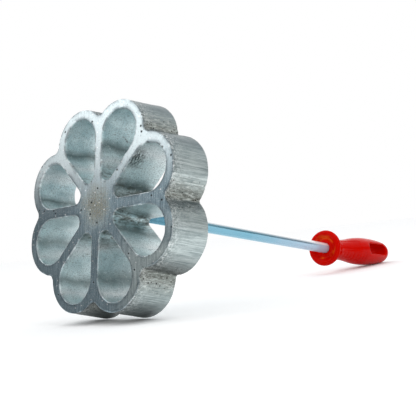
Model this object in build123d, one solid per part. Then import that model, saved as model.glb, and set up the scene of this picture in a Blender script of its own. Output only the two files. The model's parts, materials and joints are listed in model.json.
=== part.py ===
from build123d import *
from math import atan2, cos, degrees, radians, sin, sqrt, tan
import os

# Rosette iron: an eight-lobed cast mould screwed on a steel rod with a moulded handle.
# Each piece is drawn along its own axis: z = 0 at the ground front face of the mould, z rises
# towards the handle, x points right and y points down. lay_down() then sets the iron on the floor.

# Mould, measured at its ground front face
LOBES = 8
MOULD_RADIUS = 60.0
LOBE_RADIUS = 20.0
VALLEY_RADIUS = 4.0
MOULD_DEPTH = 24.5
OUTER_DRAFT = 5.4
RING_WALL = 4.9
SPOKE_WIDTH = 5.4
HUB_RADIUS = 15.0
PETAL_DRAFT = 6.0
CUT_OVERSHOOT = 1.0

# Thread of the rod, drawn as plain cylinders
ROD_RADIUS = 4.0
THREAD_GAP = 0.05
HOLE_DEPTH = 18.0
HOLE_CHAMFER = 0.8
TIP_GAP = 1.0
ROD_CHAMFER = 1.0

# Lock nut
NUT_FLATS = 13.0
NUT_HEIGHT = 6.5
NUT_SIDES = 6
NUT_CORNER = 0.9
NUT_CORNER_RISE = 0.45

# Handle: guard, then a grip that leans up from the rod
GUARD_Z = 231.0
GUARD_RADIUS = 14.0
GUARD_RIM = 5.0
DISH_DEPTH = 3.5
COLLAR_RADIUS = 6.0
COLLAR_HEIGHT = 1.6
LIP_WIDTH = 1.6
NECK_RADIUS = 7.9
NECK_LENGTH = 10.0
NECK_LAP = 1.0
NECK_STEP = 0.4
GRIP_RADIUS = 11.4
GRIP_SWELL = 45.0
GRIP_LENGTH = 87.0
GRIP_LEAN = 3.4
SHOULDER_RADIUS = 9.6
DOME_LENGTH = 13.0
NOSE_RADIUS = 6.5
ROD_SOCKET = 50.0
SOCKET_GAP = 0.05

# Hang slot, straight across the grip near its end and a little above its middle
SLOT_LENGTH = 33.0
SLOT_WIDTH = 8.4
SLOT_LAND = 12.0
SLOT_LIFT = 1.7
SLOT_FLARE = 2.0
SLOT_FLARE_REACH = 6.0

# Where the grip meets the floor, as a share of its length, and how often the tilt is refined
GRIP_CONTACT = 0.75
TILT_ROUNDS = 4

STEP_DEG = 360.0 / LOBES
HALF_STEP = radians(STEP_DEG / 2)


def polar(radius, angle):
    return Vector(radius * cos(angle), radius * sin(angle))


def arc_about(centre, radius, start, end):
    """Arc on a circle between two angles, through the angle halfway."""
    middle = (start + end) / 2
    return ThreePointArc(*[centre + polar(radius, a) for a in (start, middle, end)])


def flower(grow):
    """Outline of the lobes and the valleys between them, offset outwards by grow."""
    lobe_centre = MOULD_RADIUS - LOBE_RADIUS
    reach = LOBE_RADIUS + VALLEY_RADIUS
    aside = lobe_centre * sin(HALF_STEP)
    valley_centre = lobe_centre * cos(HALF_STEP) + sqrt(reach**2 - aside**2)
    # half the angle that a lobe's arc and a valley's arc take up at their own centres
    turn = atan2(valley_centre * sin(HALF_STEP), valley_centre * cos(HALF_STEP) - lobe_centre)
    valley_turn = turn - HALF_STEP
    edges = []
    for k in range(LOBES):
        a = (2 * k + 1) * HALF_STEP
        edges.append(arc_about(polar(lobe_centre, a), LOBE_RADIUS + grow, a - turn, a + turn))
        b = a + HALF_STEP
        back = b + radians(180)
        centre = polar(valley_centre, b)
        edges.append(arc_about(centre, VALLEY_RADIUS - grow, back + valley_turn, back - valley_turn))
    return make_face(edges)


def petal(shrink):
    """Teardrop with sides parallel to the spokes, drawn along +x and offset inwards by shrink."""
    rise = sin(HALF_STEP)
    half_spoke = SPOKE_WIDTH / 2
    narrow = (HUB_RADIUS - half_spoke) / (1 - rise)
    wide = (MOULD_RADIUS - RING_WALL + half_spoke) / (1 + rise)
    ends = []
    for centre in (narrow, wide):
        ends.append((Vector(centre, 0), centre * rise - half_spoke - shrink))
    side = radians(90) + HALF_STEP
    (near, near_r), (far, far_r) = ends
    outline = [
        arc_about(far, far_r, -side, side),
        Line(far + polar(far_r, side), near + polar(near_r, side)),
        arc_about(near, near_r, side, 2 * radians(180) - side),
        Line(near + polar(near_r, -side), far + polar(far_r, -side)),
    ]
    return make_face(outline)


def drafted(profile, change, low, high):
    """Solid between a profile at the front face and the same profile offset at the back."""
    slope = change / MOULD_DEPTH
    ends = [Pos(0, 0, z) * profile(slope * z) for z in (low, high)]
    return loft(ends, ruled=True)


def make_mould():
    body = drafted(flower, MOULD_DEPTH * tan(radians(OUTER_DRAFT)), 0, MOULD_DEPTH)
    narrowing = MOULD_DEPTH * tan(radians(PETAL_DRAFT))
    cutter = drafted(petal, narrowing, -CUT_OVERSHOOT, MOULD_DEPTH + CUT_OVERSHOOT)
    for k in range(LOBES):
        body -= Rot(Z=(k + 0.5) * STEP_DEG) * cutter
    hole_radius = ROD_RADIUS + THREAD_GAP
    body -= Pos(0, 0, MOULD_DEPTH - HOLE_DEPTH) * Cylinder(
        hole_radius, HOLE_DEPTH, align=(Align.CENTER, Align.CENTER, Align.MIN)
    )
    mouth = Cone(
        hole_radius,
        hole_radius + HOLE_CHAMFER,
        HOLE_CHAMFER,
        align=(Align.CENTER, Align.CENTER, Align.MAX),
    )
    return body - Pos(0, 0, MOULD_DEPTH) * mouth


def make_rod():
    tip = MOULD_DEPTH - HOLE_DEPTH + TIP_GAP
    end = GUARD_Z + ROD_SOCKET
    rod = Pos(0, 0, tip) * Cylinder(
        ROD_RADIUS, end - tip, align=(Align.CENTER, Align.CENTER, Align.MIN)
    )
    return chamfer(rod.edges().filter_by(GeomType.CIRCLE), ROD_CHAMFER)


def make_nut():
    hexagon = RegularPolygon(NUT_FLATS / 2, NUT_SIDES, major_radius=False)
    nut = extrude(hexagon, NUT_HEIGHT)
    corner_radius = NUT_FLATS / 2 / cos(radians(180 / NUT_SIDES))
    rounding = Cylinder(
        corner_radius, NUT_HEIGHT, align=(Align.CENTER, Align.CENTER, Align.MIN)
    )
    corners = rounding.edges().filter_by(GeomType.CIRCLE)
    rounding = chamfer(corners, NUT_CORNER_RISE, NUT_CORNER)
    bore = Cylinder(
        ROD_RADIUS + THREAD_GAP, NUT_HEIGHT, align=(Align.CENTER, Align.CENTER, Align.MIN)
    )
    return Pos(0, 0, MOULD_DEPTH) * ((nut & rounding) - bore)


def guard_profile():
    """Half section of the guard and the neck, with radius along x and the axis along y."""
    collar_top = GUARD_Z + DISH_DEPTH - COLLAR_HEIGHT
    rim_back = GUARD_Z + GUARD_RIM
    lip = GUARD_RADIUS - GUARD_RIM / 2
    neck_radius = NECK_RADIUS - NECK_STEP
    neck_start = rim_back + NECK_LENGTH - NECK_LAP
    neck_top = rim_back + NECK_LENGTH + NECK_LAP
    dish = Polyline(
        (0, collar_top),
        (COLLAR_RADIUS, collar_top),
        (COLLAR_RADIUS + COLLAR_HEIGHT, GUARD_Z + DISH_DEPTH),
        (lip - LIP_WIDTH, GUARD_Z + LIP_WIDTH / 2),
        (lip, GUARD_Z),
    )
    rim = ThreePointArc(dish @ 1, (GUARD_RADIUS, GUARD_Z + GUARD_RIM / 2), (lip, rim_back))
    neck = TangentArc((neck_radius, neck_start), rim @ 1, tangent=(0, -1))
    close = Polyline(neck @ 0, (neck_radius, neck_top), (0, neck_top), dish @ 0)
    return make_face(dish + rim + neck + close)


def tangent_arcs(start, end):
    """Two equal arcs that leave start and reach end along +y."""
    middle = ((start[0] + end[0]) / 2, (start[1] + end[1]) / 2)
    first = TangentArc(start, middle, tangent=(0, 1))
    return first + TangentArc(middle, end, tangent=first % 1)


def dome(edge, nose_radius, top):
    """Arc that runs on from edge, then the nose arc about the axis that ends at top."""
    start = edge @ 1
    heading = edge % 1
    inward = Vector(-heading.Y, heading.X)
    nose = Vector(0, top - nose_radius)
    offset = start - nose
    radius = (nose_radius**2 - offset.length**2) / (2 * (inward.dot(offset) + nose_radius))
    centre = start + inward * radius
    touch = centre + (nose - centre).normalized() * radius
    run_on = TangentArc(start, touch, tangent=heading)
    return run_on + TangentArc(touch, (0, top), tangent=run_on % 1)


def grip_profile(inset=0.0):
    """Half section of the grip from the neck to the nose, radius along x, drawn in by inset."""
    neck = (NECK_RADIUS - inset, 0)
    swell = tangent_arcs(neck, (GRIP_RADIUS - inset, GRIP_SWELL))
    shoulder = (SHOULDER_RADIUS - inset, GRIP_LENGTH - DOME_LENGTH)
    fall = TangentArc((GRIP_RADIUS - inset, GRIP_SWELL), shoulder, tangent=(0, 1))
    end = dome(fall, NOSE_RADIUS, GRIP_LENGTH - inset)
    close = Polyline((0, GRIP_LENGTH - inset), (0, 0), neck)
    return make_face(swell + fall + end + close)


def turned(profile):
    """Solid of revolution about +z from a half section with its axis along y."""
    return revolve(Rot(X=90) * profile, Axis.Z)


def hang_slots():
    """Slot straight across the grip, and the flares where it comes out on either side."""
    centre = GRIP_LENGTH - SLOT_LAND - SLOT_LENGTH / 2
    middle = Plane(origin=(0, -SLOT_LIFT, centre), x_dir=(0, 0, 1), z_dir=(1, 0, 0))
    cutters = [extrude(middle * SlotOverall(SLOT_LENGTH, SLOT_WIDTH), 2 * GRIP_RADIUS, both=True)]
    for side in (-1, 1):
        ends = []
        for growth in (-SLOT_FLARE, SLOT_FLARE_REACH):
            slot = SlotOverall(SLOT_LENGTH + 2 * growth, SLOT_WIDTH + 2 * growth)
            ends.append(middle.offset(side * (SHOULDER_RADIUS - SLOT_FLARE + growth)) * slot)
        cutters.append(loft(ends, ruled=True))
    return cutters


def make_handle():
    grip_z = GUARD_Z + GUARD_RIM + NECK_LENGTH
    lean = Pos(0, 0, grip_z) * Rot(X=GRIP_LEAN)
    body = turned(guard_profile()) + lean * turned(grip_profile())
    for cutter in hang_slots():
        body -= lean * cutter
    socket = Pos(0, 0, GUARD_Z) * Cylinder(
        ROD_RADIUS + SOCKET_GAP, ROD_SOCKET, align=(Align.CENTER, Align.CENTER, Align.MIN)
    )
    return body - socket


def lay_down(pieces):
    """Tip the iron back until the mould's lower edge and the grip both touch the floor."""
    tilt = 0
    for _ in range(TILT_ROUNDS):
        turn = Rot(X=-(90 + tilt))
        mould_box = (turn * pieces["mould"]).bounding_box()
        grip_box = (turn * pieces["handle"]).bounding_box()
        drop = grip_box.min.Z - mould_box.min.Z
        apart = GUARD_Z + GRIP_LENGTH * GRIP_CONTACT - MOULD_DEPTH
        tilt += degrees(atan2(drop, apart))
    turned_pieces = {name: turn * piece for name, piece in pieces.items()}
    mould_box = turned_pieces["mould"].bounding_box()
    grip_box = turned_pieces["handle"].bounding_box()
    middle = (mould_box.min.Y + grip_box.max.Y) / 2
    place = Pos(0, -middle, -mould_box.min.Z)
    print(f"tilt {tilt:.4f} place {-middle:.4f} {-mould_box.min.Z:.4f}")
    return {name: place * piece for name, piece in turned_pieces.items()}


pieces = {
    "mould": make_mould(),
    "rod": make_rod(),
    "lock_nut": make_nut(),
    "handle": make_handle(),
}
os.makedirs("parts", exist_ok=True)
for name, piece in lay_down(pieces).items():
    export_step(piece, f"parts/{name}.step")
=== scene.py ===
# %% Rosette iron, dressed around its CAD model
# A cast aluminium flower mould on a zinc-plated rod with a red plastic handle.
import json
from math import atan2, cos, degrees, exp, pi, radians, sin, sqrt, tan

import bmesh
import bpy
import numpy as np
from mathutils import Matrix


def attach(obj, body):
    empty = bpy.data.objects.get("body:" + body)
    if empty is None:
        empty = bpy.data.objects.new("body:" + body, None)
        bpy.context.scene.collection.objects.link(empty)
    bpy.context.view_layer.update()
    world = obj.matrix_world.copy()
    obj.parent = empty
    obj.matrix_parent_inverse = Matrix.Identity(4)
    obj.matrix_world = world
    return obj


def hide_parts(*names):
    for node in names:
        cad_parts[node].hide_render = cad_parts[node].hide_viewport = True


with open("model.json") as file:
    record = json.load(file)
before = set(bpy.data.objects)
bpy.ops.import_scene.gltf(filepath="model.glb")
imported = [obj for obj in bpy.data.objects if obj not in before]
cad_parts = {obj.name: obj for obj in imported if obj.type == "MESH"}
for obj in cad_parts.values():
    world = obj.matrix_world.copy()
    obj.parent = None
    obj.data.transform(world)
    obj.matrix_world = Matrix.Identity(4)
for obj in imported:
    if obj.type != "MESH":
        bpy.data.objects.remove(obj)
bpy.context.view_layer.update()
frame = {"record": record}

import openvdb
from mathutils import Matrix, Vector

# %% [markdown]
# A rosette iron is drawn most easily along its own rod, but it lies tipped on the floor. So every
# new piece is modelled in millimetres in the tool's frame, where z runs from the ground face of the
# mould to the handle, x points right and y points down. One matrix, read from the record, lays the
# piece in the frame of the CAD model.

# %% The tool's own frame
MM = 0.001
MOULD_R = 60.0
GROW = tan(radians(5.4))
record = frame["record"]
hinge = next(j for j in record["behaviour"]["joints"] if j["name"] == "lock_nut_turn")
front = next(m for m in record["mounts"] if m["name"] == "front_face")
axis = -Vector(hinge["axis"]).normalized()
origin = Vector(front["pos_m"])
right = Vector((1, 0, 0))
turn = Matrix((right, axis.cross(right), axis)).transposed()
LAY_DOWN = Matrix.Translation(origin) @ turn.to_4x4() @ Matrix.Scale(MM, 4)
print("tilt", round(degrees(atan2(-axis.z, axis.y)), 3), "face centre", tuple(origin))

# %% [markdown]
# The photograph was taken from low on the right of the mould's face, close enough for strong
# perspective. A camera is one matrix: where it stands, and its right, up and backward directions as
# columns. The lens follows from the focal length in pixels and the picture's width.

# %% Camera at the photograph's angle
FOCAL_PX = 705.7
FRAME_PX = 416
SENSOR_MM = 36
EYE = Vector((289.4, 67.6, -244.1))
EYE_RIGHT = Vector((0.75888, -0.00609, 0.65120))
EYE_DOWN = Vector((-0.11062, 0.98422, 0.13812))
EYE_FORWARD = Vector((-0.64177, -0.17685, 0.74623))

scene = bpy.context.scene
scene.view_settings.view_transform = "Standard"


def placed(name, data):
    """Puts a new object in the scene."""
    made = bpy.data.objects.new(name, data)
    scene.collection.objects.link(made)
    return made


lens = bpy.data.cameras.new("photo_camera")
lens.sensor_width = SENSOR_MM
lens.lens = FOCAL_PX * SENSOR_MM / FRAME_PX
camera = placed("photo_camera", lens)
aim = turn @ Matrix((EYE_RIGHT, -EYE_DOWN, -EYE_FORWARD)).transposed()
camera.matrix_world = Matrix.Translation(LAY_DOWN @ EYE) @ aim.to_4x4()
scene.camera = camera
print("camera at", tuple(round(v, 4) for v in camera.location), "lens", round(lens.lens, 2))

# %% [markdown]
# Materials and Geometry Nodes are both trees of small nodes. Each helper adds a node, feeds its
# inputs with sockets or plain values, and returns what comes out.


# %% Helpers that grow a node tree
def feed(made, feeds):
    """Links a node's inputs to sockets, and fills them with plain values."""
    for socket, value in feeds.items():
        if isinstance(value, bpy.types.NodeSocket):
            made.id_data.links.new(value, made.inputs[socket])
        else:
            made.inputs[socket].default_value = value


def node(tree, kind, feeds=None, **settings):
    """Adds a node, sets its properties and feeds its inputs."""
    made = tree.nodes.new(kind)
    for name, value in settings.items():
        setattr(made, name, value)
    feed(made, feeds or {})
    return made


def fed(kind, feeds, **settings):
    """Adds a node to the tree that the first socket among its feeds belongs to."""
    tree = next(v.id_data for v in feeds.values() if isinstance(v, bpy.types.NodeSocket))
    return node(tree, kind, feeds, **settings)


def calc(operation, *values):
    """One Math node on sockets or numbers; returns its result."""
    return fed("ShaderNodeMath", dict(enumerate(values)), operation=operation).outputs[0]


def plus(a, b):
    return calc("ADD", a, b)


def minus(a, b):
    return calc("SUBTRACT", a, b)


def times(first, *others):
    """The product of sockets and numbers."""
    for other in others:
        first = calc("MULTIPLY", first, other)
    return first


def between(value, low, high, start=0.0, end=1.0):
    """Carries the part of a value from low to high over to start to end, and holds the rest."""
    feeds = {"Value": value, "From Min": low, "From Max": high, "To Min": start, "To Max": end}
    return fed("ShaderNodeMapRange", feeds).outputs[0]


def away(value, middle):
    """How far a value is from its middle."""
    return calc("ABSOLUTE", minus(value, middle))


def split(vector):
    """The x, y and z of a vector."""
    return fed("ShaderNodeSeparateXYZ", {"Vector": vector}).outputs


def joined(**axes):
    """A vector from its X, Y and Z."""
    return fed("ShaderNodeCombineXYZ", axes).outputs[0]


def measure(operation, *vectors):
    """A number from a Vector Math node, such as a LENGTH or a DISTANCE."""
    feeds = dict(enumerate(vectors))
    return fed("ShaderNodeVectorMath", feeds, operation=operation).outputs["Value"]


# %% [markdown]
# Colours are written as they look on a screen. A surface is painted like a wall: a base tone first,
# then thin coats over it, each with a mask that says where, a strength and a colour.


# %% Helpers for colour
def rgb(text):
    """Linear colour of a #rrggbb code, as it is seen on a screen."""
    parts = [int(text[k : k + 2], 16) / 255 for k in (0, 2, 4)]
    return tuple(p / 12.92 if p <= 0.04045 else ((p + 0.055) / 1.055) ** 2.4 for p in parts)


def blend(factor, a, b):
    """Mix of two colours; returns the colour."""
    a, b = (v if isinstance(v, bpy.types.NodeSocket) else (*v, 1) for v in (a, b))
    return fed("ShaderNodeMix", {0: factor, 6: a, 7: b}, data_type="RGBA").outputs[2]


def weigh(factor, a, b):
    """Mix of two numbers."""
    return fed("ShaderNodeMix", {0: factor, 2: a, 3: b}, data_type="FLOAT").outputs[0]


def coats(tone, *layers):
    """Lays coats of (mask, strength, colour) over a tone, one on another; returns the colour."""
    for mask, strength, colour in layers:
        tone = blend(times(mask, strength), tone, rgb(colour))
    return tone


def ramp(factor, *stops):
    """A ramp of greys from (place, grey) stops; returns its colour."""
    made = fed("ShaderNodeValToRGB", {"Fac": factor})
    band = made.color_ramp
    for k, (place, grey) in enumerate(stops):
        element = band.elements[k] if k < 2 else band.elements.new(place)
        element.position = place
        element.color = (grey, grey, grey, 1)
    return made.outputs["Color"]


print("middle grey on a screen is", round(rgb("808080")[0], 3), "of white in light")

# %% [markdown]
# Every finish reads Object coordinates, turned back by a Mapping node into millimetres in the tool's
# frame, so that a scratch can run along the rod.


# %% A material that works in millimetres along the tool
def finish(name):
    """A new material; returns it, its tree, its shader and the tool-frame coordinates."""
    made = bpy.data.materials.new(name)
    made.use_nodes = True
    tree = made.node_tree
    shader = tree.nodes["Principled BSDF"]
    place = node(tree, "ShaderNodeTexCoord").outputs["Object"]
    back = {"Vector": place, "Location": origin, "Rotation": turn.to_euler(), "Scale": (MM, MM, MM)}
    mapped = fed("ShaderNodeMapping", back, vector_type="TEXTURE")
    return made, tree, shader, mapped.outputs["Vector"]


def connect(shader, **feeds):
    """Feeds a shader's inputs; an underscore stands for a space."""
    feed(shader, {name.replace("_", " "): value for name, value in feeds.items()})


def noise(vector, scale, detail=2.0, roughness=0.5, distortion=0.0):
    feeds = {"Vector": vector, "Scale": scale, "Detail": detail, "Roughness": roughness}
    return fed("ShaderNodeTexNoise", {**feeds, "Distortion": distortion}).outputs["Fac"]


def stretched(vector, scale, offset=(0, 0, 0)):
    """The coordinates moved, and multiplied axis by axis to draw a pattern out one way."""
    feeds = {"Vector": vector, "Scale": scale, "Location": offset}
    return fed("ShaderNodeMapping", feeds).outputs["Vector"]


def streaks(vector, scale, detail, roughness, distortion=0.0):
    """Noise with its own scale along each axis, so that it runs in streaks."""
    return noise(stretched(vector, scale), 1.0, detail, roughness, distortion)


def pores(vector, scale, low, high, share, seed=0.0, dimensions="3D"):
    """Round spots of radius low to high, in cells of 1/scale mm, in a share of the cells."""
    place = stretched(vector, (1, 1, 1), (seed, seed, 0))
    feeds = {"Vector": place, "Scale": scale}
    cells = fed("ShaderNodeTexVoronoi", feeds, voronoi_dimensions=dimensions).outputs
    draw = fed("ShaderNodeSeparateColor", {"Color": cells["Color"]}).outputs[0]
    drawn = calc("LESS_THAN", draw, share)
    return times(between(cells["Distance"], high, low), drawn)


def stamp(tree, name):
    """A number stored on the mesh points."""
    return node(tree, "ShaderNodeAttribute", attribute_name=name).outputs["Fac"]


def skyward(tree):
    """Which way a surface faces: 1 is up, 0 is level and -1 is down."""
    return split(node(tree, "ShaderNodeNewGeometry").outputs["Normal"])[2]


def bumped(height, distance, strength):
    """A normal that follows a height, in metres of distance."""
    feeds = {"Height": height, "Distance": distance, "Strength": strength}
    return fed("ShaderNodeBump", feeds).outputs["Normal"]


# %% [markdown]
# The mould is sand cast, then its front face is ground flat, which leaves fine scratches, pores that
# the cut has opened and a rough spot at the hub that the wheel never reached. Its walls were only
# brushed, and they stay rough and brown in the valleys. The mesh carries a number for each of these
# places, and the material mixes its tones by them.

# %% Cast aluminium: the places and the patterns
MARKS = ("ground", "petal_wall", "valley", "front_edge", "rim")
cast, tree, shader, P = finish("cast_aluminium")
ground, petal_wall, valley, front_edge, rim = (stamp(tree, name) for name in MARKS)
X, Y, Z = split(P)
flat_place = joined(X=X, Y=Y)
hub_distance = measure("LENGTH", flat_place)
untapered = calc("MULTIPLY_ADD", Z, -GROW / MOULD_R, 1.0)
along = joined(X=times(X, untapered), Y=times(Y, untapered), Z=Z)

mottle = noise(P, 0.12, 4, 0.6)
grain = noise(P, 1.6, 3, 0.7)
brush = streaks(along, (1.9, 1.9, 0.045), 4, 0.75)
broad = streaks(along, (0.2, 0.2, 0.02), 3, 0.6)
scratch = streaks(P, (1.3, 0.06, 1.0), 3, 0.85, 0.2)
print("cast aluminium starts from", len(tree.nodes), "nodes")

# %% [markdown]
# The outer walls are brushed along the rod, browner and rougher in the valleys and battered along
# the front edge. Painted glints sit in the valleys and among the nicks of the front edge, and the
# pits in the valleys are painted near black as the shade in them. Sides that face up or down are
# painted darker, as shade.

# %% Cast aluminium: the outer walls
sandy = between(streaks(along, (1.1, 1.1, 0.2), 5, 0.8), 0.42, 0.60)
sandy_valley = times(valley, sandy)
bright = between(streaks(P, (0.9, 0.9, 0.3), 3, 0.8), 0.54, 0.62)
painted_glint = times(bright, between(valley, 0.05, 0.4))
pits_here = between(valley, 0.03, 0.4)
wall_pits = times(pores(P, 0.55, 0.14, 0.3, 0.35, seed=7.0), pits_here)
upward = skyward(tree)
near_front = calc("POWER", front_edge, 0.5)
battered_and_glints = noise(P, 0.7, 4, 0.85, 0.3)
wall_tone = blend(between(brush, 0.38, 0.62), rgb("8c9c9e"), rgb("e0ebea"))
wall_tone = coats(
    wall_tone,
    (between(broad, 0.45, 0.65), 0.5, "95a3a4"),
    (between(mottle, 0.45, 0.7), 0.4, "d3dfdd"),
    (valley, 0.4, "a6a594"),
    (sandy_valley, 0.75, "585347"),
    # painted glints: bright spots in the valleys
    (painted_glint, 0.8, "e9eeea"),
    # painted shade: pits in the valleys, only a slight dent, are painted near black
    (wall_pits, 1.0, "2b2722"),
    # painted shade: sides that face up, then sides that face down, are painted darker
    (between(upward, 0.1, 0.65), 0.8, "4c5d63"),
    (between(upward, -0.55, -0.95), 0.75, "30383a"),
    # along the front edge: dark nicks, then white painted glints among them
    (times(near_front, between(battered_and_glints, 0.50, 0.40)), 0.7, "4f5450"),
    (times(near_front, between(battered_and_glints, 0.50, 0.60)), 0.9, "fafdfc"),
)
print("with its outer walls", len(tree.nodes), "nodes")

# %% [markdown]
# Inside the petals the cast skin is left as it was. Pale patches of painted light and one patch of
# painted shade lie on them. Soft dark bands cross them, each with a paler band below: a painted
# reflection, dark where the walls mirror the horizon and pale where they mirror the sky. Brown
# stains sit in the tips by the hub. One petal is scored dark.

# %% Cast aluminium: inside the petals
# each patch of painted light or shade: its centre, its radius in mm, its strength and its colour
PAINTED_LIGHT_PATCHES = (
    ((-17, 37, 0), 18, 0.5, "f4ffff"),
    ((-36, 15, 0), 17, 0.8, "f4ffff"),
    ((36, -15, 0), 18, 0.6, "f4ffff"),
    ((14, 38, 0), 18, 0.35, "6d7a7a"),
    ((35, 22, 0), 16, 0.35, "f4ffff"),
)
# each painted dark band, a reflection of the horizon: where it crosses y, and its strength
PAINTED_BANDS = ((-33.0, 0.85), (-9.0, 0.8), (14.0, 0.65), (38.0, 0.65))
DARK_BAND_REACH, PALE_REACH, PALE_BELOW = 4.5, 5.0, 8.0
SCORED_AT = (27.5, -22.5, 2.5)

wander = times(minus(noise(P, 0.05, 2, 0.5), 0.5), 9.0)
height = plus(Y, wander)
inside_tone = blend(between(mottle, 0.3, 0.7), rgb("b8d4d9"), rgb("ecfdff"))
# painted light and shade: pale patches and one dark patch on the petal walls
for centre, reach, strength, colour in PAINTED_LIGHT_PATCHES:
    near = between(measure("DISTANCE", flat_place, centre), reach, reach * 0.5)
    inside_tone = coats(inside_tone, (near, strength, colour))
# painted reflection: dark bands where the walls mirror the horizon, with pale bands below
for level, strength in PAINTED_BANDS:
    painted_dark_band = between(away(height, level), DARK_BAND_REACH, 0.0)
    paler = between(away(height, level + PALE_BELOW), PALE_REACH, 0.0)
    inside_tone = coats(inside_tone, (painted_dark_band, strength, "5a6462"), (paler, 0.7, "ffffff"))

tip = between(plus(hub_distance, wander), 27, 17)
stained = between(streaks(P, (0.5, 0.5, 0.2), 5, 0.75, 0.6), 0.40, 0.60)
scored_here = between(measure("DISTANCE", P, SCORED_AT), 8.0, 3.0)
scored = between(streaks(P, (0.5, 0.5, 1.2), 4, 0.8), 0.40, 0.54)
inside_tone = coats(
    inside_tone,
    (between(grain, 0.42, 0.60), 0.38, "7b9093"),
    (between(noise(P, 0.8, 4, 0.85), 0.56, 0.68), 0.5, "59625f"),
    (between(noise(P, 0.7, 4, 0.85, 0.4), 0.42, 0.33), 0.6, "f8fdfd"),
    (times(tip, stained), 0.85, "4b4a3f"),
    (between(streaks(P, (0.5, 0.5, 0.15), 5, 0.75, 0.5), 0.60, 0.70), 0.7, "3b3d39"),
    (times(scored_here, scored), 0.9, "262a27"),
)
print("with its petals", len(tree.nodes))

# %% [markdown]
# The ground face is scratched one way. Its upper half and its lower right are painted paler, as
# light falling there, and its left is painted darker, as shade. Specks and nicks are painted white
# where they catch the light, opened pores are painted dark as the shade in them, and the spot at the
# hub is rough and beige.

# %% Cast aluminium: the ground face
scratched = between(scratch, 0.34, 0.66)
face_tone = blend(scratched, rgb("60737d"), rgb("a6bcc6"))
pale_tone = blend(scratched, rgb("93a3a6"), rgb("d9e4e2"))
upper = between(plus(Y, times(X, 0.1)), 0, -26)
lower_right = between(measure("DISTANCE", flat_place, (42, 38, 0)), 34, 14)
left = between(measure("DISTANCE", flat_place, (-38, -3, 0)), 26, 12)
hub_edge = minus(mottle, 0.5)
hub_edge = plus(hub_distance, times(hub_edge, 14.0))
hub_spot = between(hub_edge, 13.0, 6.0)
rough_spot = between(noise(P, 1.3, 4, 0.85), 0.42, 0.56)
unground = times(between(hub_edge, 14.0, 4.0), rough_spot)
crumbs = between(noise(P, 0.9, 4, 0.9, 0.3), 0.50, 0.60)
grit = between(noise(P, 1.1, 3, 0.9), 0.60, 0.68)
pit = pores(P, 0.13, 0.045, 0.1, 0.55, dimensions="2D")
nick = pores(P, 0.24, 0.05, 0.12, 0.3, seed=31.0, dimensions="2D")
# painted light: the upper half of the face paler
face_tone = coats(face_tone, (upper, 0.75, "e2edef"))
# painted light: the lower right of the face paler
face_tone = blend(times(lower_right, 0.85), face_tone, pale_tone)
face_tone = coats(
    face_tone,
    # painted shade: the left of the face darker
    (left, 0.45, "4a5d68"),
    # painted glints: pale specks
    (between(noise(P, 1.4, 2, 0.6), 0.6, 0.66), 0.5, "eef3f5"),
    (between(noise(P, 1.0, 3, 0.7), 0.42, 0.34), 0.55, "56636d"),
    (unground, 0.85, "a8a086"),
    (times(hub_spot, crumbs), 0.75, "5f5f55"),
    (times(hub_spot, grit), 0.9, "e6e3d2"),
    # painted glints on the nicks, then pores painted near black as the shade in them
    (nick, 0.9, "ffffff"),
    (pit, 1.0, "1b1f21"),
)
print("with its ground face", len(tree.nodes))

# %% [markdown]
# A painted highlight stands along parts of the ground edges, where a burr catches the light. The
# rims are painted dark in some places as shade, white in others as highlights, and a duller grey in
# the rest, which breaks up their highlight. The bump is small, because the mesh carries the real
# waves.

# %% Cast aluminium: the edges, the shine and the bump
tone = blend(petal_wall, wall_tone, inside_tone)
tone = blend(ground, tone, face_tone)
on_edge = times(ground, minus(1.0, ground), 4.0)
burr_highlight = between(noise(P, 0.25, 3, 0.7), 0.52, 0.66)
rim_shade = between(noise(P, 0.5, 4, 0.75), 0.55, 0.62)
rim_highlight = between(noise(P, 0.45, 4, 0.75), 0.42, 0.33)
dimmed_rim = between(noise(P, 0.13, 2, 0.6), 0.40, 0.52)
tone = coats(
    tone,
    # painted highlight along the ground edges, then painted shade, highlight and darker grey on the
    # rims
    (times(on_edge, burr_highlight), 1.0, "fbfdfd"),
    (times(rim, rim_shade), 0.85, "343c3f"),
    (times(rim, rim_highlight), 0.8, "ffffff"),
    (times(rim, dimmed_rim), 0.75, "5f6e75"),
)

dull = calc("MAXIMUM", times(unground, 0.35), times(sandy_valley, 0.2))
dull = plus(dull, times(grain, 0.06))
roughness = plus(weigh(ground, 0.36, 0.28), dull)

wall_height = plus(times(grain, 0.10), times(brush, 0.05))
wall_height = plus(wall_height, times(sandy_valley, 0.3))
wall_height = minus(wall_height, times(wall_pits, 0.5))
face_height = minus(times(scratch, 0.03), times(pit, 0.4))
face_height = plus(face_height, times(unground, 0.15))
relief = bumped(weigh(ground, wall_height, face_height), MM, 0.8)
metal = weigh(petal_wall, 0.8, 0.6)
connect(shader, Base_Color=tone, Metallic=metal, Roughness=roughness, Normal=relief)
print("cast_aluminium nodes", len(tree.nodes))

# %% [markdown]
# Blue zinc plating is a thin bright skin on steel, so it is a smooth metal with a blue base colour.
# Fine drawing lines run along the bar. It is painted paler towards the guard, as the bright
# reflection it shows there, and there it loses its shine. Its upper side, though not the very top,
# is painted white as a highlight, where the light from above washes it out.

# %% Blue zinc on steel
PALE_FROM, PALE_TO = 130, 228
DULL_FROM, DULL_TO = 200, 218

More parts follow.
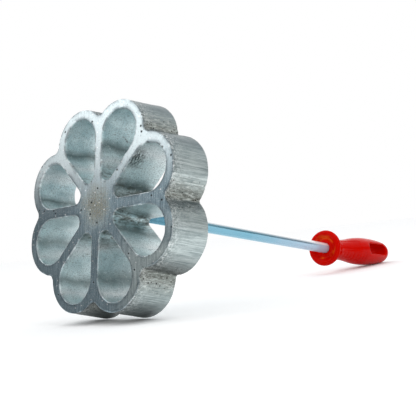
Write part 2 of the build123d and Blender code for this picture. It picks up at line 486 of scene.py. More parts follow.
zinc, tree, shader, P = finish("zinc_steel")
along_rod = split(P)[2]
upward = skyward(tree)
drawn = streaks(P, (2.5, 2.5, 0.03), 3, 0.6)
below_top = between(upward, 0.97, 0.86, 0.4, 1.0)
painted_top_highlight = times(between(upward, 0.26, 0.42), below_top)
blue = coats(
    blend(drawn, rgb("5aa4be"), rgb("8ecbe0")),
    (noise(P, 0.05, 2, 0.5), 0.4, "b4d2e4"),
    # painted reflection: paler towards the guard
    (between(along_rod, PALE_FROM, PALE_TO), 0.75, "ccd6ea"),
    # painted highlight on the upper side
    (painted_top_highlight, 0.85, "ffffff"),
)
metal = between(along_rod, DULL_FROM, DULL_TO, 0.7, 0.15)
roughness = plus(0.13, times(drawn, 0.1))
relief = bumped(drawn, 0.05 * MM, 0.6)
connect(shader, Base_Color=blue, Metallic=metal, Roughness=roughness, Normal=relief)
print("zinc_steel nodes", len(tree.nodes))

# %% [markdown]
# The handle is moulded in a glossy red plastic. Light enters such plastic a little. The orange
# patches in the thin dish of its guard are painted glints of light bounced round the dish. A faint
# waviness of the surface breaks up the reflections.

# %% Glossy red plastic
GLOW_RING, GLOW_OUTER, GLOW_INNER, GLOW_UP_TO = 8.6, 2.4, 0.6, 236.0

plastic, tree, shader, P = finish("red_plastic")
X, Y, Z = split(P)
wave = noise(P, 0.09, 3, 0.5)
smudge = noise(P, 0.35, 4, 0.6)
ring_gap = away(measure("LENGTH", joined(X=X, Y=Y)), GLOW_RING)
dish_glint_ring = between(ring_gap, GLOW_OUTER, GLOW_INNER)
dish_glint_ring = times(dish_glint_ring, calc("LESS_THAN", Z, GLOW_UP_TO))
patch = between(noise(P, 0.16, 2, 0.5), 0.5, 0.62)
red = blend(wave, rgb("cc0000"), rgb("e01000"))
# painted glints: orange patches in the dish of the guard
red = coats(red, (times(dish_glint_ring, patch), 0.8, "ee5a18"))
roughness = plus(0.10, times(smudge, 0.12))
relief = bumped(wave, 0.6 * MM, 0.3)
connect(shader, Base_Color=red, Roughness=roughness, Normal=relief, Specular_IOR_Level=0.035)
connect(shader, Subsurface_Weight=0.15, Subsurface_Radius=(0.004, 0.001, 0.0005))
print("red_plastic nodes", len(tree.nodes))

# %% [markdown]
# The mould repeats one lobe eight times. Python draws one sector of it, an eighth of the circle with
# one teardrop opening, as a net of quads. Geometry Nodes then turn that sector into the whole
# flower, which is the tool for anything that repeats about an axis.

# %% Sizes of the mould
LOBES = 8
LOBE_R, VALLEY_R, DEPTH = 20.0, 4.0, 24.5
SHRINK = tan(radians(6.0))
RING_WALL, HALF_SPOKE, HUB_R, HUB_FILL_R = 4.9, 2.7, 15.0, 4.0
HOLE_R, HOLE_DEPTH, HOLE_CHAMFER = 4.05, 18.0, 0.8
HALF = pi / LOBES
LOBE_C = MOULD_R - LOBE_R
LOBE_TO_VALLEY = LOBE_R + VALLEY_R
VALLEY_C = sqrt(LOBE_TO_VALLEY**2 - (LOBE_C * sin(HALF)) ** 2) + LOBE_C * cos(HALF)
LOBE_TURN = atan2(VALLEY_C * sin(HALF), VALLEY_C * cos(HALF) - LOBE_C)
NEAR_C = (HUB_R - HALF_SPOKE) / (1 - sin(HALF))
FAR_C = (MOULD_R - RING_WALL + HALF_SPOKE) / (1 + sin(HALF))
SIDE_N, VALLEY_N, LOBE_N, HUB_N = 34, 7, 56, 12
print("valleys centred at", round(VALLEY_C, 2), "each lobe turns", round(degrees(LOBE_TURN), 1))

# %% [markdown]
# A sector is outlined by arcs and lines, and the chain round its petal has the same number of points,
# so the two can be joined by quads.


# %% Outlines of one sector
def on_arc(cx, cy, radius, start, end, count):
    """Points on an arc, without its last one."""
    a = start + (end - start) * np.arange(count) / count
    return np.c_[cx + radius * np.cos(a), cy + radius * np.sin(a)]


def on_line(a, b, count):
    """Points on a line, without its last one."""
    return np.asarray(a) + (np.asarray(b) - np.asarray(a)) * (np.arange(count) / count)[:, None]


def outline(grow):
    """From the valley at -22.5 degrees over the lobe to the valley at +22.5 degrees."""
    swing = LOBE_TURN - HALF
    vx, vy = VALLEY_C * cos(HALF), VALLEY_C * sin(HALF)
    first = on_arc(vx, -vy, VALLEY_R - grow, pi - HALF, pi - HALF - swing, VALLEY_N)
    lobe = on_arc(LOBE_C, 0, LOBE_R + grow, -LOBE_TURN, LOBE_TURN, LOBE_N)
    turns = pi + HALF + swing * (1 - np.arange(VALLEY_N + 1) / VALLEY_N)
    last = np.c_[vx + (VALLEY_R - grow) * np.cos(turns), vy + (VALLEY_R - grow) * np.sin(turns)]
    return np.r_[first, lobe, last]


def sector(grow, hub):
    """Closed chain round the sector: side, outline, other side, hub arc."""
    rim = outline(grow)
    inner = [(hub * cos(a), hub * sin(a)) for a in (-HALF, HALF)]
    way_in = on_line(rim[-1], inner[1], SIDE_N)
    hub_arc = on_arc(0, 0, hub, HALF, -HALF, HUB_N)
    way_out = on_line(inner[0], rim[0], SIDE_N)
    return np.r_[way_out, rim[:-1], way_in, hub_arc]


def teardrop(shrink):
    """Closed chain round the opening, point for point beside the sector's chain."""
    far_r = FAR_C * sin(HALF) - HALF_SPOKE - shrink
    near_r = NEAR_C * sin(HALF) - HALF_SPOKE - shrink
    side = pi / 2 + HALF
    near = [(NEAR_C + near_r * cos(s), near_r * sin(s)) for s in (-side, side)]
    far = [(FAR_C + far_r * cos(s), far_r * sin(s)) for s in (-side, side)]
    return np.r_[
        on_line(near[0], far[0], SIDE_N),
        on_arc(FAR_C, 0, far_r, -side, side, 2 * VALLEY_N + LOBE_N),
        on_line(far[1], near[1], SIDE_N),
        on_arc(NEAR_C, 0, near_r, side, 2 * pi - side, HUB_N),
    ]


print("points round a sector", len(sector(0, 4)), len(teardrop(0)))

# %% [markdown]
# A net is a list of rows of points. Each row is joined to the next by quads. The front edges are
# eased by a third of a millimetre, as grinding leaves them, and the cast back edges a little more.

# %% Rows of points and quads
FRONT_EASE, BACK_EASE = 0.35, 0.7
WALL_ROWS, FACE_ROWS = 20, 8
EDGE_REACH, RIM_REACH, VALLEY_REACH = 2.0, 0.9, 8.0
SAME_PLACE = 0.001
places, quads, marks = [], [], []


def lift(chain, z, ground=0.0, petal_wall=0.0, valley=None, rim=None):
    """Adds a row of points at depth z and returns their numbers."""
    start = len(places)
    for k, (x, y) in enumerate(chain):
        places.append((x, y, z))
        in_valley = 0.0 if valley is None else valley[k]
        on_rim = exp(-z / RIM_REACH) if rim is None else rim[k]
        marks.append((ground, petal_wall, in_valley, exp(-z / EDGE_REACH), on_rim))
    return list(range(start, len(places)))


def join(rows, closed):
    """Adds the quads between each row and the next."""
    for a, b in zip(rows, rows[1:]):
        n = len(a)
        for k in range(n if closed else n - 1):
            quads.append((a[k], a[(k + 1) % n], b[(k + 1) % n], b[k]))


def eased(depth, ease_front, ease_back):
    """Depths down a wall with how far its edges are drawn back, and how much of it is face."""
    turns = [radians(a) for a in (0, 30, 60, 90)]
    for a in turns:
        yield ease_front * (1 - sin(a)), ease_front * (1 - cos(a)), 1 - a / turns[-1]
    for k in range(1, WALL_ROWS):
        yield 0.0, ease_front + (depth - ease_front - ease_back) * k / WALL_ROWS, 0.0
    for a in turns[::-1]:
        yield ease_back * (1 - sin(a)), depth - ease_back * (1 - cos(a)), 0.0


print("rows down a wall", len(list(eased(DEPTH, FRONT_EASE, BACK_EASE))))

# %% [markdown]
# Both walls go down row by row. The petal shrinks with depth and the outline grows, and near the
# front and the back both are drawn back to ease the edge.

# %% The walls of one sector
reach = np.hypot(*(outline(0) - outline(0)[0]).T)
reach = np.minimum(reach, reach[::-1])
near_valley = np.exp(-((reach / VALLEY_REACH) ** 2))

hole_rows = []
wall_rows = []
for back, z, flat in eased(DEPTH, FRONT_EASE, BACK_EASE):
    hole_rows.append(lift(teardrop(SHRINK * z - back), z, flat, 1.0))
    wall_rows.append(lift(outline(GROW * z - back), z, flat, 0.0, near_valley))
join(hole_rows, True)
join([row[::-1] for row in wall_rows], False)

print("after the walls", len(places), "points", len(quads), "quads")

# %% [markdown]
# The front and back faces run from the petal to the sector's own edge. The middle of the front is a
# small disc, and the middle of the back is the blind hole for the rod.

# %% The faces of one sector and the hole
# each face: its depth, how far its edges are eased, the radius left open at the hub, 1 if ground
FACES = ((0, FRONT_EASE, HUB_FILL_R, 1.0), (DEPTH, BACK_EASE, HOLE_R + HOLE_CHAMFER, 0.0))
# each chain runs inwards, as (radius, depth)
HOLE_END = DEPTH - HOLE_DEPTH
HUB_DISC = ((HUB_FILL_R, 0), (2.6, 0), (1.2, 0), (0.0, 0))
BLIND_HOLE = (
    (HOLE_R + HOLE_CHAMFER, DEPTH), (HOLE_R, DEPTH - HOLE_CHAMFER), (HOLE_R, DEPTH - 8),
    (HOLE_R, HOLE_END), (2.0, HOLE_END), (0.0, HOLE_END),
)

for z, back, hub, mark in FACES:
    inner = teardrop(SHRINK * z - back)
    outer = sector(GROW * z - back, hub)
    rows = []
    for k in range(FACE_ROWS + 1):
        share = k / FACE_ROWS
        width = np.hypot(*(outer - inner).T)
        on_rim = np.zeros(len(width))
        on_rim[SIDE_N : SIDE_N + 2 * VALLEY_N + LOBE_N] = 1.0
        by_petal = np.exp(-share * width / RIM_REACH)
        by_outline = on_rim * np.exp(-(1 - share) * width / RIM_REACH)
        rim = np.maximum(by_petal, by_outline)
        rows.append(lift(inner + (outer - inner) * share, z, mark, rim=rim * mark))
    join(rows[::-1] if z == 0 else rows, True)

for steps in (HUB_DISC, BLIND_HOLE):
    rows = []
    for r, z in steps:
        chain = [(r * cos(a), r * sin(a)) for a in np.linspace(HALF, -HALF, HUB_N + 1)]
        rows.append(lift(chain, z, 1.0 if z == 0 else 0.0, rim=[0.0] * len(chain)))
    join(rows, False)

print("after the faces", len(places), "points", len(quads), "quads")

# %% [markdown]
# The marks become attributes of the mesh, one number a point. Points that share a place are merged,
# and all faces are turned to look outwards.

# %% One sector as a mesh
petal_mesh = bpy.data.meshes.new("mould_sector")
petal_mesh.from_pydata(places, [], quads)
for column, name in enumerate(MARKS):
    layer = petal_mesh.attributes.new(name, "FLOAT", "POINT")
    layer.data.foreach_set("value", [m[column] for m in marks])
shell = bmesh.new()
shell.from_mesh(petal_mesh)
bmesh.ops.remove_doubles(shell, verts=shell.verts, dist=SAME_PLACE)
bmesh.ops.recalc_face_normals(shell, faces=shell.faces)
front_face = min(shell.faces, key=lambda f: f.calc_center_median().z)
if front_face.normal.z > 0:
    bmesh.ops.reverse_faces(shell, faces=shell.faces)
shell.to_mesh(petal_mesh)
print("sector of", len(petal_mesh.vertices), "points, front normal", tuple(front_face.normal))

# %% [markdown]
# A Geometry Nodes tree gets named inputs. It is run on a mesh, with each input set by its
# identifier, and what comes out is baked into a plain mesh.


# %% Helpers for Geometry Nodes
def inputs_of(tree, **numbers):
    """Names the tree's inputs, an underscore standing for a space; returns their sockets."""
    def add(name, kind, way="INPUT"):
        return tree.interface.new_socket(name, in_out=way, socket_type="NodeSocket" + kind)

    add("Geometry", "Geometry")
    for name, value in numbers.items():
        kind = "Int" if isinstance(value, int) else "Float"
        add(name.replace("_", " "), kind).default_value = value
    add("Material", "Material")
    add("Geometry", "Geometry", "OUTPUT")
    return tree.nodes.new("NodeGroupInput").outputs


def geo(kind, settings=None, **feeds):
    """Adds a node that makes or changes geometry, and returns the geometry."""
    return fed(kind, feeds, **(settings or {})).outputs[0]


def run_tree(tree, mesh, settings, name):
    """Runs the tree on a mesh and returns what it makes as a plain mesh."""
    holder = placed(name, mesh)
    modifier = holder.modifiers.new(name, "NODES")
    modifier.node_group = tree
    for item in tree.interface.items_tree:
        if item.item_type == "SOCKET" and item.in_out == "INPUT" and item.name in settings:
            modifier[item.identifier] = settings[item.name]
    bpy.context.view_layer.update()
    result = holder.evaluated_get(bpy.context.evaluated_depsgraph_get())
    made = bpy.data.meshes.new_from_object(result)
    bpy.data.objects.remove(holder)
    print(name, "made", len(made.vertices), "points")
    return made


# %% [markdown]
# The tree places the sector on eight points that share one spot, turned step by step, makes them
# real, and welds the seams. Sand casting is never exact, so Set Position then moves the walls by
# soft noise, more in the valleys. The ground face stays flat.


# %% A Geometry Nodes tree for a ring of copies
def ring_tree():
    ring = bpy.data.node_groups.new("ring_of_lobes", "GeometryNodeTree")
    given = inputs_of(ring, Lobes=8, Waviness=0.3, Sand=0.1, Seed=0.0)
    points = geo("GeometryNodeMeshLine", Count=given["Lobes"], Offset=(0, 0, 0))
    index = node(ring, "GeometryNodeInputIndex").outputs[0]
    angle = times(plus(index, 0.5), 2 * pi)
    spin = joined(Z=calc("DIVIDE", angle, given["Lobes"]))
    lobe = given["Geometry"]
    copies = geo("GeometryNodeInstanceOnPoints", Points=points, Instance=lobe, Rotation=spin)
    real = geo("GeometryNodeRealizeInstances", Geometry=copies)
    welded = geo("GeometryNodeMergeByDistance", Geometry=real, Distance=0.004)

    def stored(name):
        """A number stored on the sector's points."""
        kind = "GeometryNodeInputNamedAttribute"
        return node(ring, kind, {"Name": name}, data_type="FLOAT").outputs["Attribute"]

    spot = node(ring, "GeometryNodeInputPosition").outputs[0]
    normal = node(ring, "GeometryNodeInputNormal").outputs[0]

    def rise(scale, detail):
        """Noise in the range -1 to 1."""
        feeds = {"Vector": spot, "Scale": scale, "Detail": detail, "W": given["Seed"]}
        made = fed("ShaderNodeTexNoise", feeds, noise_dimensions="4D").outputs["Fac"]
        return calc("MULTIPLY_ADD", made, 2.0, -1.0)

    rough_here = plus(0.35, times(stored("valley"), 1.4))
    rough_here = plus(rough_here, stored("front_edge"))
    bias = calc("MULTIPLY_ADD", stored("petal_wall"), 1.1, -0.4)
    soft = times(plus(rise(0.07, 2.0), bias), given["Waviness"])
    sandy = minus(rise(0.45, 3.0), 0.2)
    sandy = times(sandy, given["Sand"], rough_here)
    free = minus(1.0, stored("ground"))
    push = times(plus(soft, sandy), free)
    shift = fed("ShaderNodeVectorMath", {0: normal, "Scale": push}, operation="SCALE")
    moved = geo("GeometryNodeSetPosition", Geometry=welded, Offset=shift.outputs[0])
    coated = geo("GeometryNodeSetMaterial", Geometry=moved, Material=given["Material"])
    fed("NodeGroupOutput", {"Geometry": coated})
    return ring


lobes_tree = ring_tree()
print("ring_of_lobes nodes", len(lobes_tree.nodes))

# %% [markdown]
# A finished mesh is laid in the CAD frame, shaded smooth with its real edges kept sharp, and handed
# to the body that it rides on. The CAD node that it replaces is hidden.


# %% The mould, made and laid down
def add_piece(mesh, name, body, nodes, smooth):
    """Lays a finished mesh in the CAD frame and hands it to a body."""
    mesh.transform(LAY_DOWN)
    mesh.name = name
    shape = bmesh.new()
    shape.from_mesh(mesh)
    bmesh.ops.recalc_face_normals(shape, faces=shape.faces)
    open_edges = sum(1 for e in shape.edges if not e.is_manifold)
    shape.to_mesh(mesh)
    shape.free()
    mesh.polygons.foreach_set("use_smooth", [True] * len(mesh.polygons))
    mesh.set_sharp_from_angle(angle=radians(smooth))
    piece = placed(name, mesh)
    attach(piece, body)
    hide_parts(*nodes)
    triangles = sum(len(p.vertices) - 2 for p in mesh.polygons)
    print(name, "triangles", triangles, "open edges", open_edges)


casting = {"Lobes": LOBES, "Waviness": 0.45, "Sand": 0.4, "Seed": 3.0, "Material": cast}
mould_mesh = run_tree(lobes_tree, petal_mesh, casting, "mould_ring")
add_piece(mould_mesh, "flower_mould", "mould", ["mould"], smooth=50)

# %% [markdown]
# The rod's thread is a helix. A grid of points is wrapped round the axis: one direction of the grid
# runs round the bar, the other along it, and the radius follows a 60 degree tooth that climbs one
# pitch for each turn. It fades out where the thread ends and the plain bar begins.

# %% A Geometry Nodes tree for a threaded bar
ROD_R, PITCH, TOOTH = 3.98, 1.25, 0.68
ROD_START, ROD_END, THREAD_END = 7.5, 281.0, 72.0
AROUND, ROWS_PER_PITCH = 40, 8
CREST, ROOT = 0.12, 0.8
LEAD_IN, TIP_CHAMFER, RUN_OUT = 1.2, 1.0, 3.0


def bar_tree():
    bar = bpy.data.node_groups.new("threaded_bar", "GeometryNodeTree")
    lengths = {"Radius": 4.0, "Pitch": 1.25, "Tooth": 0.6, "Start": 0.0, "Thread_end": 60.0}
    given = inputs_of(bar, **lengths, End=280.0, Rows=400, Around=40)
    columns = plus(given["Around"], 1.0)
    feeds = {"Size X": 1.0, "Size Y": 1.0, "Vertices X": given["Rows"], "Vertices Y": columns}
    net = geo("GeometryNodeMeshGrid", **feeds)
    spot = split(node(bar, "GeometryNodeInputPosition").outputs[0])
    turned = plus(spot[1], 0.5)
    around = times(turned, 2 * pi)
    length = minus(given["Thread end"], given["Start"])
    along = calc("MULTIPLY_ADD", plus(spot[0], 0.5), length, given["Start"])
    phase = minus(calc("DIVIDE", along, given["Pitch"]), turned)
    wedge = calc("MULTIPLY_ADD", calc("FRACT", phase), 2.0, -1.0)
    flank = between(calc("ABSOLUTE", wedge), CREST, ROOT)
    lead = between(minus(along, given["Start"]), 0.0, LEAD_IN)
    out = between(minus(given["Thread end"], along), 0.0, RUN_OUT)
    chamfer = times(minus(1.0, lead), TIP_CHAMFER)
    cut = calc("MAXIMUM", times(flank, given["Tooth"], out), chamfer)
    radius = minus(given["Radius"], cut)
    wrap_x = times(radius, calc("COSINE", around))
    wrap_y = times(radius, calc("SINE", around))
    wrapped = joined(X=wrap_x, Y=wrap_y, Z=along)
    thread = geo("GeometryNodeSetPosition", Geometry=net, Position=wrapped)

    def shifted(part, height):
        """A part moved along the bar."""
        return geo("GeometryNodeTransform", Geometry=part, Translation=joined(Z=height))

    def disc(radius):
        fan = {"fill_type": "TRIANGLE_FAN"}
        return geo("GeometryNodeMeshCircle", fan, Vertices=given["Around"], Radius=radius)

    depth = minus(given["End"], given["Thread end"])
    feeds = {"Side Segments": 24, "Vertices": given["Around"], "Radius": given["Radius"]}
    plain = geo("GeometryNodeMeshCylinder", {"fill_type": "NONE"}, **feeds, Depth=depth)
    middle = times(plus(given["End"], given["Thread end"]), 0.5)
    shank = shifted(plain, middle)
    tip = shifted(disc(minus(given["Radius"], TIP_CHAMFER)), given["Start"])
    tail = shifted(disc(given["Radius"]), given["End"])
    together = node(bar, "GeometryNodeJoinGeometry")
    for part in (thread, shank, tip, tail):
        bar.links.new(part, together.inputs[0])
    welded = geo("GeometryNodeMergeByDistance", Geometry=together.outputs[0], Distance=0.01)
    real = geo("GeometryNodeRealizeInstances", Geometry=welded)
    coated = geo("GeometryNodeSetMaterial", Geometry=real, Material=given["Material"])
    fed("NodeGroupOutput", {"Geometry": coated})
    return bar


threaded = bar_tree()
print("threaded_bar nodes", len(threaded.nodes))

# %% [markdown]
# The rod is an M8 bar: 8 mm across, with a pitch of 1.25 mm. Its thread starts inside the mould and
# ends well in front of the handle.

# %% The threaded rod, made and laid down
thread_rows = round((THREAD_END - ROD_START) / PITCH * ROWS_PER_PITCH) + 1
sizes = {"Radius": ROD_R, "Pitch": PITCH, "Tooth": TOOTH, "Start": ROD_START, "End": ROD_END}
counts = {"Rows": thread_rows, "Around": AROUND}
sizes = {**sizes, **counts, "Thread end": THREAD_END, "Material": zinc}
rod_mesh = run_tree(threaded, bpy.data.meshes.new("rod_seed"), sizes, "threaded_bar")
add_piece(rod_mesh, "threaded_rod", "rod_and_handle", ["rod"], smooth=40)

# %% [markdown]
# A hexagon nut is a hexagon whose corners are cut by a cone on both faces. For each direction round
# the axis the flat gives a radius, and the cone gives the height at that radius, so the nut is one
# closed net of rings.

# %% Lock nut
NUT_FLATS, NUT_H, NUT_AROUND = 13.0, 6.5, 96
CONE = tan(radians(30))
CUT_SHARE, EDGE_IN, EDGE_DOWN = 0.97, 0.12, 0.15
BORE_GAP, SINK_GAP, SINK_DEEP = 0.07, 0.75, 0.7


def nut_rings(angles):
    """Rings of (radius, height) from the lower bore, over the outside, to the upper bore."""
    hexagon = NUT_FLATS / 2 / np.cos((angles + pi / 6) % (pi / 3) - pi / 6)
    flat = NUT_FLATS / 2 * CUT_SHARE
    drop = (hexagon - flat) * CONE
    bore, sink = ROD_R + BORE_GAP, ROD_R + SINK_GAP
    full = np.ones(NUT_AROUND)
    yield bore * full, SINK_DEEP * full
    yield sink * full, 0.0 * full
    yield flat * full, 0.0 * full
    yield hexagon - EDGE_IN, drop
    yield hexagon, drop + EDGE_DOWN
    yield hexagon, NUT_H - drop - EDGE_DOWN
    yield hexagon - EDGE_IN, NUT_H - drop
    yield flat * full, NUT_H * full
    yield sink * full, NUT_H * full
    yield bore * full, (NUT_H - SINK_DEEP) * full


angles = np.arange(NUT_AROUND) / NUT_AROUND * 2 * pi
net = [np.c_[r * np.cos(angles), r * np.sin(angles), z + DEPTH] for r, z in nut_rings(angles)]
corners = np.concatenate(net)
faces = []
for k in range(len(net)):
    a, b = k * NUT_AROUND, (k + 1) % len(net) * NUT_AROUND
    for j in range(NUT_AROUND):
        n = (j + 1) % NUT_AROUND
        faces.append((a + j, a + n, b + n, b + j))
nut_mesh = bpy.data.meshes.new("nut")
nut_mesh.from_pydata(corners.tolist(), [], faces)
nut_mesh.materials.append(zinc)
add_piece(nut_mesh, "hexagon_lock_nut", "lock_nut", ["lock_nut"], smooth=25)

# %% [markdown]
# The handle is moulded plastic, all soft edges and blends, which polygons make badly and a distance
# field makes well. For each point of a fine grid, the field says how far the surface is. Shapes join
# and cut each other by taking the smaller or larger distance, softened so that every edge gets a
# fillet. OpenVDB then turns the zero level of the field into a mesh.

# %% Sizes of the handle and the grid
GUARD_Z, GUARD_R, RIM, DISH = 231.0, 14.0, 5.0, 3.5
COLLAR_R, COLLAR_H, LIP, NECK_STEP = 6.0, 1.6, 1.6, 0.4
NECK_R, NECK_LEN, GRIP_R, SWELL, GRIP_LEN, LEAN = 7.9, 10.0, 11.4, 45.0, 87.0, 3.4
SHOULDER_R, DOME, NOSE_R, SOCKET = 9.6, 13.0, 6.5, 50.0
SLOT_LEN, SLOT_W, SLOT_LAND, SLOT_LIFT = 33.0, 8.4, 12.0, 1.7
SLOT_FILLET, GUARD_FILLET, BORE_FILLET = 2.2, 0.9, 0.35
VOXEL, FIELD_REACH = 0.36, 2.0
LOW = np.array([-15.0, -20.5, 229.6])
SPAN = np.array([30.0, 36.0, 105.5])
counts = np.ceil(SPAN / VOXEL).astype(int)
gx, gy, gz = np.meshgrid(*(LOW[k] + VOXEL * np.arange(counts[k]) for k in range(3)), indexing="ij")
lean = radians(LEAN)
grip_base = GUARD_Z + RIM + NECK_LEN
hy = gy * cos(lean) + (gz - grip_base) * sin(lean)
hz = -gy * sin(lean) + (gz - grip_base) * cos(lean)
print("grid", counts, "cells", int(np.prod(counts)))

# %% [markdown]
# The grip and the guard are turned shapes, so each starts as a half section. Every arc leaves where
# the last one arrived, in the same direction, so the profile has no kink.


# %% Half sections as chains of points
def swept(start, heading, end, count=40):
    """Arc that leaves start along heading and ends at end."""
    start, heading, end = (np.asarray(v, float) for v in (start, heading, end))
    side = np.array([-heading[1], heading[0]])
    chord = end - start
    radius = chord @ chord / (2 * chord @ side)
    centre = start + side * radius
    a = atan2(*(start - centre)[::-1])
    b = atan2(*(end - centre)[::-1])
    if radius > 0 and b < a:
        b += 2 * pi
    if radius < 0 and b > a:
        b -= 2 * pi
    angles = np.linspace(a, b, count)
    points = centre + abs(radius) * np.c_[np.cos(angles), np.sin(angles)]
    leave = (b > a) * 2 - 1
    return points, leave * np.array([-sin(b), cos(b)])


def grip_section():
    """The grip: it swells from the neck, falls to the shoulder and closes in a rounded end."""
    half_way = ((NECK_R + GRIP_R) / 2, SWELL / 2)
    first, heading = swept((NECK_R, 0), (0, 1), half_way)
    second, _ = swept(half_way, heading, (GRIP_R, SWELL))
    fall, heading = swept((GRIP_R, SWELL), (0, 1), (SHOULDER_R, GRIP_LEN - DOME))
    start = fall[-1]
    inward = np.array([-heading[1], heading[0]])
    nose = np.array([0, GRIP_LEN - NOSE_R])
    offset = start - nose
    radius = (NOSE_R**2 - offset @ offset) / (2 * (inward @ offset + NOSE_R))
    centre = start + inward * radius
    touch = centre + (nose - centre) / np.linalg.norm(nose - centre) * radius
    run_on, heading = swept(start, heading, touch)
    cap, _ = swept(touch, heading, (0, GRIP_LEN))
    return np.r_[[(0, 0)], first, second[1:], fall[1:], run_on[1:], cap[1:]]


def guard_section():
    """The guard: a dished front with a collar, a round rim and a neck behind it."""
    collar_top = GUARD_Z + DISH - COLLAR_H
    lip, back = GUARD_R - RIM / 2, GUARD_Z + RIM
    half_turn = np.linspace(0, pi, 30)
    rim_z = GUARD_Z + RIM / 2 - RIM / 2 * np.cos(half_turn)
    rim = list(zip(lip + RIM / 2 * np.sin(half_turn), rim_z))
    neck_r, neck_top = NECK_R - NECK_STEP, back + NECK_LEN + 2
    neck, _ = swept((neck_r, back + NECK_LEN - 1), (0, -1), (lip, back))
    dish_low = (COLLAR_R + COLLAR_H, GUARD_Z + DISH)
    dish_high = (lip - LIP, GUARD_Z + LIP / 2)
    dish = [(0, collar_top), (COLLAR_R, collar_top), dish_low, dish_high, rim[0]]
    for _ in range(3):
        a, b = np.array(dish[:-1]), np.array(dish[1:])
        rounded = np.stack((a * 0.75 + b * 0.25, a * 0.25 + b * 0.75), 1).reshape(-1, 2)
        dish = [dish[0], *rounded, dish[-1]]
    return np.r_[dish[:-1], rim, neck[::-1][1:], [(neck_r, neck_top), (0, neck_top)]]


print("points on the grip", len(grip_section()), "on the guard", len(guard_section()))

# %% [markdown]
# The distance to a turned shape depends only on how far a point is from the axis and how high it is.
# So it is worked out once on a fine flat table, and every cell of the grid reads it there. The soft
# minimum joins two shapes with a fillet, and the soft maximum cuts one by another.


# %% The distance to a turned shape
def section_field(chain, radius, height, step=0.25):
    """Signed distance to the solid turned from a closed half section, read from a fine table."""
    hi = np.array([radius.max(), height.max()]) + 2 * step
    lo = np.array([0.0, height.min()])
    table_r = np.arange(lo[0], hi[0], step)
    table_z = np.arange(lo[1], hi[1], step)
    tr, tz = np.meshgrid(table_r, table_z, indexing="ij")
    best = np.full(tr.shape, 1e9)
    inside = np.zeros(tr.shape, bool)
    loop = np.r_[chain, chain[:1]]
    for (ax, ay), (bx, by) in zip(loop, loop[1:]):
        dx, dy = bx - ax, by - ay
        size = dx * dx + dy * dy
        if size == 0:
            continue
        if ax > 1e-9 or bx > 1e-9:
            t = np.clip(((tr - ax) * dx + (tz - ay) * dy) / size, 0, 1)
            best = np.minimum(best, np.hypot(tr - ax - t * dx, tz - ay - t * dy))
        if ay != by:
            crosses = ((ay > tz) != (by > tz)) & (tr < dx * (tz - ay) / dy + ax)
            inside ^= crosses
    table = np.where(inside, -best, best)
    fr = np.clip((radius - lo[0]) / step, 0, len(table_r) - 1.001)
    fz = np.clip((height - lo[1]) / step, 0, len(table_z) - 1.001)
    i, j = fr.astype(int), fz.astype(int)
    u, v = fr - i, fz - j
    near = table[i, j] * (1 - v) + table[i, j + 1] * v
    far = table[i + 1, j] * (1 - v) + table[i + 1, j + 1] * v
    return near * (1 - u) + far * u


def soft_min(a, b, k):
    """The smaller distance, with a fillet of size k where the two are near."""
    h = np.clip(0.5 + 0.5 * (b - a) / k, 0, 1)
    return b + (a - b) * h - k * h * (1 - h)


def soft_max(a, b, k):
    return -soft_min(-a, -b, k)


print("a fillet of 1 mm takes a distance of 0 to", soft_min(0.0, 0.0, 1.0))

# %% [markdown]
# The thumb side has a bare recessed panel, and the lower flanks have a row of shallow finger
# grooves. Both are small changes of the distance where a mask says so.

# %% The handle as a distance field
GROOVES, GROOVE_PITCH, GROOVE_W, GROOVE_DEEP, GROOVE_START = 8, 4.4, 2.0, 0.3, 5.0
FLANK_AT, FLANK_WIDE = -42.0, 30.0
PANEL_Z, PANEL_W, PANEL_DEEP, PANEL_UP = (3.0, 29.0), 8.5, 0.25, 22.0

grip_radius = np.hypot(gx, hy)
turned_grip = section_field(grip_section(), grip_radius, hz)
turned_guard = section_field(guard_section(), np.hypot(gx, gy), gz)


def box_mask(distance, edge=0.35):
    """1 inside, 0 outside, with a soft edge."""
    return np.clip(0.5 - distance / edge, 0, 1)


around = np.degrees(np.arctan2(-hy, np.abs(gx)))
groove = np.zeros_like(gx)
for k in range(GROOVES):
    middle = GROOVE_START + k * GROOVE_PITCH
    groove = np.maximum(groove, np.clip(1 - ((hz - middle) / (GROOVE_W / 2)) ** 2, 0, 1))
flank = np.clip(1 - ((around - FLANK_AT) / FLANK_WIDE) ** 2, 0, 1) ** 0.5
grooves = GROOVE_DEEP * groove * flank

up = radians(PANEL_UP)
across = gx * sin(up) + hy * cos(up)
panel_z, panel_half = sum(PANEL_Z) / 2, (PANEL_Z[1] - PANEL_Z[0]) / 2
panel_far = np.maximum(np.abs(hz - panel_z) - panel_half, np.abs(across) - PANEL_W / 2)
panel = PANEL_DEEP * box_mask(panel_far) * (gx > 0)

slot_z = GRIP_LEN - SLOT_LAND - SLOT_LEN / 2
run = (SLOT_LEN - SLOT_W) / 2
slot = np.hypot(np.maximum(np.abs(hz - slot_z) - run, 0), hy + SLOT_LIFT) - SLOT_W / 2
bore = np.maximum(np.hypot(gx, gy) - (ROD_R + BORE_GAP), gz - (GUARD_Z + SOCKET))

handle_field = turned_grip + grooves + panel
handle_field = soft_max(handle_field, -slot, SLOT_FILLET)
handle_field = soft_min(handle_field, turned_guard, GUARD_FILLET)
handle_field = soft_max(handle_field, -bore, BORE_FILLET)
print("share of the grid inside the handle", round(float(np.mean(handle_field < 0)), 3))

# %% [markdown]
# OpenVDB needs the distance only near the surface, so it is cut off at a short reach. It gives quads
# that follow the level where the distance is zero.

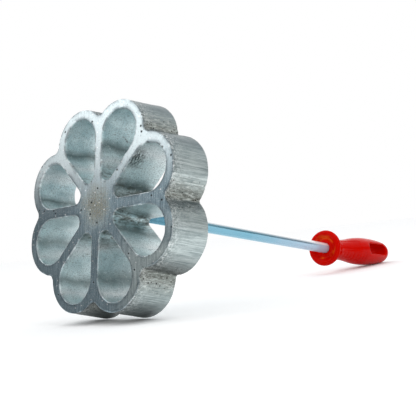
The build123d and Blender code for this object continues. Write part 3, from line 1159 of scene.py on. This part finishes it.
# %% From field to mesh
volume = openvdb.FloatGrid(background=FIELD_REACH)
near_field = np.clip(handle_field, -FIELD_REACH, FIELD_REACH)
volume.copyFromArray(near_field.astype(np.float32))
volume.gridClass = openvdb.GridClass.LEVEL_SET
spots, squares = volume.convertToQuads(isovalue=0.0)
spots = np.asarray(spots, float) * VOXEL + LOW
handle_mesh = bpy.data.meshes.new("handle_field")
handle_mesh.from_pydata(spots.tolist(), [], np.asarray(squares)[:, ::-1].tolist())
handle_mesh.materials.append(plastic)
add_piece(handle_mesh, "plastic_handle", "rod_and_handle", ["handle"], smooth=80)

# %% [markdown]
# The studio changes with the kind of ray that meets it, which a Light Path node tells. Camera, glossy
# and transmission rays find a floor that glows, so the picture and the reflections show it white.
# Diffuse rays find plain paper, so the glow lights nothing. An Ambient Occlusion node takes the glow
# away within 12 mm of the iron, which keeps the line of shadow under it.

# %% Floor
FLOOR_GLOW, CONTACT, HALF_FLOOR = 0.36, 0.012, 6.0

floor_mesh = bpy.data.meshes.new("floor")
corners = [(x * HALF_FLOOR, y * HALF_FLOOR, 0) for x, y in ((-1, -1), (1, -1), (1, 1), (-1, 1))]
floor_mesh.from_pydata(corners, [], [(0, 1, 2, 3)])
floor = placed("floor", floor_mesh)
paper = bpy.data.materials.new("floor_paper")
paper.use_nodes = True
tree = paper.node_tree
shader = tree.nodes["Principled BSDF"]
connect(shader, Base_Color=(0.8, 0.81, 0.82, 1), Roughness=0.9, Specular_IOR_Level=0.1)
rays = node(tree, "ShaderNodeLightPath").outputs
shown = calc("MAXIMUM", rays["Is Camera Ray"], rays["Is Glossy Ray"])
shown = calc("MAXIMUM", shown, rays["Is Transmission Ray"])
clear_of_iron = node(tree, "ShaderNodeAmbientOcclusion", {"Distance": CONTACT}).outputs["AO"]
glow = times(shown, clear_of_iron, FLOOR_GLOW)
connect(shader, Emission_Color=(1, 1, 1, 1), Emission_Strength=glow)
floor_mesh.materials.append(paper)
print("floor is", 2 * HALF_FLOOR, "m wide, material nodes", len(tree.nodes))

# %% [markdown]
# The world is three skies in one. The camera sees pure white. Glossy rays see a studio painted by
# height and direction, with a dark band low behind the right and a dim lower half at the front left,
# because metal only looks like metal when it mirrors something darker. Diffuse rays get soft light.

# %% World
TOWARD_FRONT_LEFT = (-0.68, -0.73, 0)
WALL_GREY = (0.7, 0.7, 0.7)

world = bpy.data.worlds.new("studio")
scene.world = world
world.use_nodes = True
tree = world.node_tree
sky = tree.nodes["Background"]
sx, sy, sz = split(node(tree, "ShaderNodeTexCoord").outputs["Generated"])
from_left = calc("MULTIPLY_ADD", sx, 0.5, 0.5)
from_front = calc("MULTIPLY_ADD", sy, 0.5, 0.5)
flat_way = fed("ShaderNodeVectorMath", {0: joined(X=sx, Y=sy)}, operation="NORMALIZE")
toward = measure("DOT_PRODUCT", flat_way.outputs[0], TOWARD_FRONT_LEFT)

behind_left = ramp(sz, (0.0, 1.0), (0.25, 1.2), (0.75, 1.2), (0.95, 0.9))
low_band = ((0.0, 0.6), (0.04, 0.08), (0.15, 0.08), (0.28, 0.6))
behind_right = ramp(sz, *low_band, (0.36, 0.5), (0.54, 0.9))
in_front = ramp(sz, (0.0, 0.12), (0.28, 0.14), (0.50, 0.88), (1.0, 0.85))
in_front = blend(ramp(toward, (0.5, 0.0), (0.8, 1.0)), WALL_GREY, in_front)
to_right = ramp(from_left, (0.5, 0.0), (0.62, 1.0))
behind = blend(to_right, behind_left, behind_right)
mirrored = blend(ramp(from_front, (0.45, 0.0), (0.6, 1.0)), in_front, behind)
soft_light = ramp(sz, (0.0, 0.5), (0.6, 0.8))

rays = node(tree, "ShaderNodeLightPath").outputs
light = blend(rays["Is Glossy Ray"], soft_light, mirrored)
see_white = calc("MAXIMUM", rays["Is Camera Ray"], rays["Is Transmission Ray"])
connect(sky, Color=blend(see_white, light, (1, 1, 1)), Strength=1.0)
print("studio nodes", len(tree.nodes))

# %% [markdown]
# Two weak lamps with large faces give the iron its soft shadow and the plastic its highlights. An
# area lamp shines along its own -z, so that axis is tracked to the target.


# %% Lamps
def softbox(name, place, target, size, power):
    """A rectangular lamp at a place, turned to a target."""
    lamp = bpy.data.lights.new(name, "AREA")
    lamp.shape = "RECTANGLE"
    lamp.size, lamp.size_y = size
    lamp.energy = power
    holder = placed(name, lamp)
    holder.location = place
    holder.rotation_euler = (Vector(target) - Vector(place)).to_track_quat("-Z", "Y").to_euler()
    print(name, "of", power, "W at", place)


softbox("key_left", (-0.9, -0.9, 0.9), (0, -0.1, 0.06), (0.9, 0.7), 3)
softbox("fill_right", (1.2, -0.2, 0.7), (0, 0, 0.05), (0.9, 0.9), 3)
